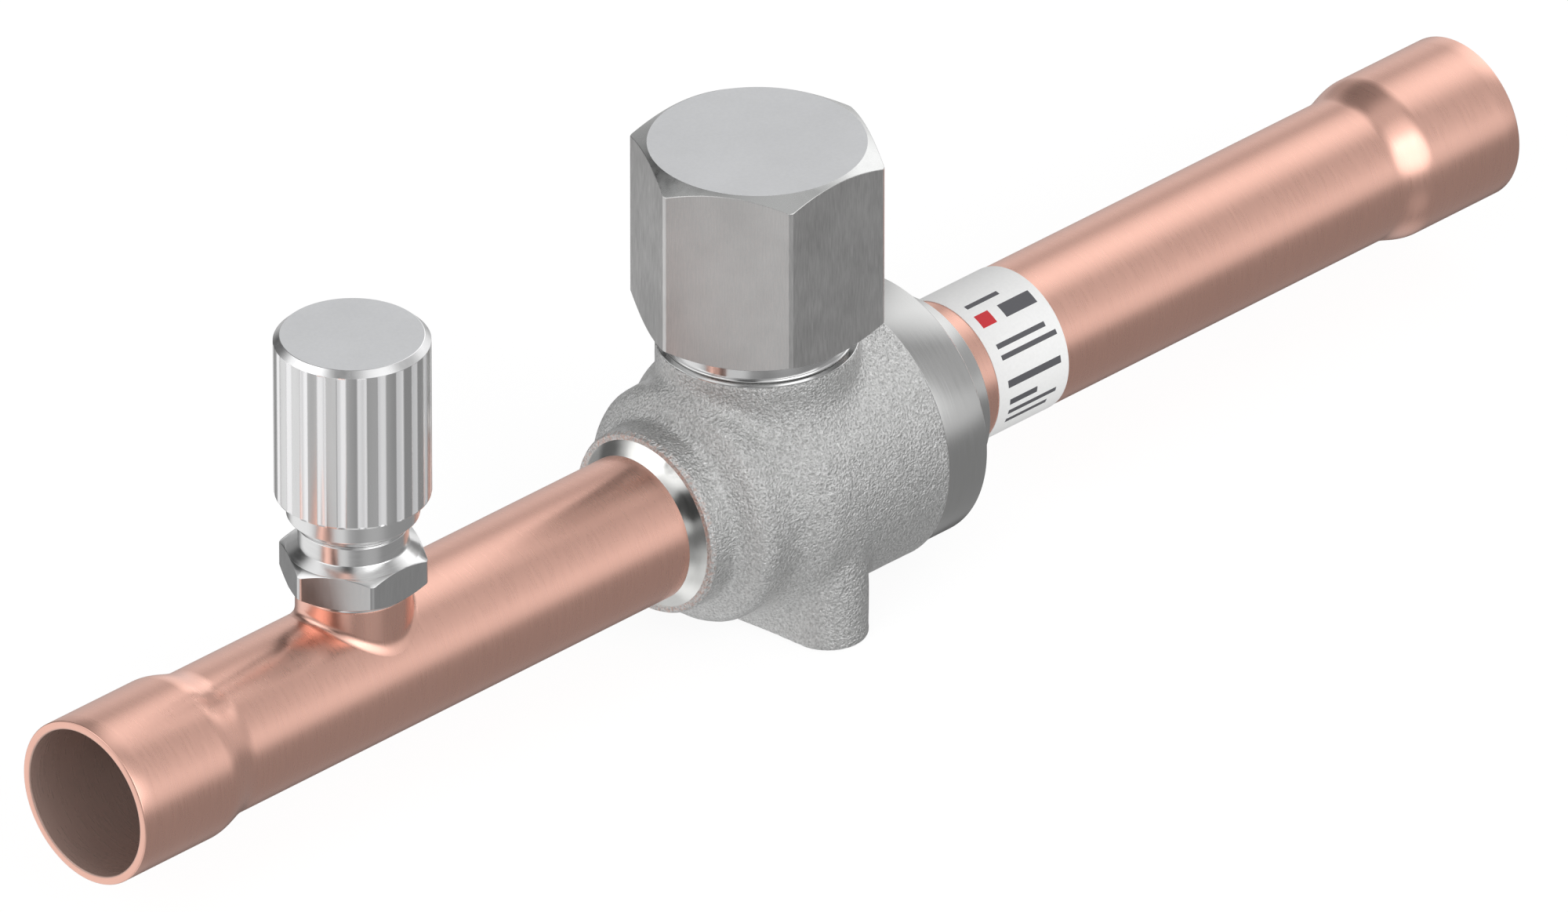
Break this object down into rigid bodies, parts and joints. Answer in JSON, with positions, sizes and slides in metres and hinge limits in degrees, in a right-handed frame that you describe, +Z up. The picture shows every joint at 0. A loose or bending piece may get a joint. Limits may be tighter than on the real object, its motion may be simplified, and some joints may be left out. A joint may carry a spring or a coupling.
{
  "type": "shut-off ball valve",
  "caption": "Straight refrigerant ball valve with copper solder ends, a hexagonal seal cap over the stem and a fluted cap on its service port.",
  "frame": {"origin": "centre of the foot's flat base, under the stem", "axes": "+X along the tubes from the service port towards the plain end, +Y across, +Z up the stem"},
  "size_m": [0.2004, 0.03, 0.0548],
  "materials": {
    "cast_steel": "blasted investment casting, fine grain",
    "turned_steel": "turned, satin",
    "polished_steel": "polished",
    "brushed_steel_cap": "brushed flats, matte ends",
    "plated_cap": "bright plating over shallow flutes",
    "copper": "drawn copper with fine marks round the tube",
    "silver_braze": "smooth braze fillet",
    "brass": "turned",
    "seat_plastic": "PTFE",
    "gasket_plastic": "nylon",
    "rubber": "moulded",
    "label_paper": "smooth printed paper"
  },
  "bodies": {
    "valve": {"body": "cast_steel", "end_piece": "turned_steel", "body_o_ring": "rubber", "port_tube": "copper", "plain_tube": "copper", "port_tube_braze": "silver_braze", "plain_tube_braze": "silver_braze", "port_side_seat": "seat_plastic", "plain_side_seat": "seat_plastic", "port_side_o_ring": "rubber", "plain_side_o_ring": "rubber", "port_fitting": "polished_steel", "port_fitting_braze": "silver_braze", "core_body": "brass", "core_gasket": "seat_plastic", "core_spring": "turned_steel", "label": "label_paper"},
    "stem": {"stem": "turned_steel", "stop_pin": "turned_steel", "thrust_washer": "seat_plastic", "lower_stem_o_ring": "rubber", "upper_stem_o_ring": "rubber"},
    "ball": {"ball": "polished_steel"},
    "cap_gasket": {"seal_cap_gasket": "gasket_plastic"},
    "seal_cap": {"seal_cap": "brushed_steel_cap"},
    "cap_seal": {"port_cap_seal": "rubber"},
    "port_cap": {"port_cap": "plated_cap"},
    "core_pin": {"core_pin": "brass", "core_seal": "rubber"}
  },
  "joints": [
    {"name": "stem_turn", "type": "hinge", "parent": "valve", "child": "stem", "pos_m": [0, 0, 0.0154], "axis": [0, 0, 1], "range_deg": [-90, 0]},
    {"name": "ball_turn", "type": "hinge", "parent": "valve", "child": "ball", "pos_m": [0, 0, 0.0154], "axis": [0, 0, 1], "range_deg": [-90, 0]},
    {"name": "seal_cap_lift", "type": "slide", "parent": "valve", "child": "cap_gasket", "axis": [0, 0, 1], "range_m": [0, 0.00556]},
    {"name": "seal_cap_turn", "type": "hinge", "parent": "cap_gasket", "child": "seal_cap", "pos_m": [0, 0, 0.0154], "axis": [0, 0, 1], "range_deg": [0, 1260]},
    {"name": "port_cap_lift", "type": "slide", "parent": "valve", "child": "cap_seal", "axis": [0, 0, 1], "range_m": [0, 0.00889]},
    {"name": "port_cap_turn", "type": "hinge", "parent": "cap_seal", "child": "port_cap", "pos_m": [-0.05823, 0, 0.0154], "axis": [0, 0, 1], "range_deg": [0, 2520]},
    {"name": "core_pin_push", "type": "slide", "parent": "valve", "child": "core_pin", "axis": [0, 0, -1], "range_m": [0, 0.0012], "stiffness_N_per_m": 800, "springref_m": -0.003, "deforming": ["core_spring"]}
  ],
  "couplings": [
    {"joint": "ball_turn", "follows": "stem_turn", "ratio": 1},
    {"joint": "seal_cap_lift", "follows": "seal_cap_turn", "m_per_rad": 0.00025266},
    {"joint": "port_cap_lift", "follows": "port_cap_turn", "m_per_rad": 0.00020213}
  ]
}
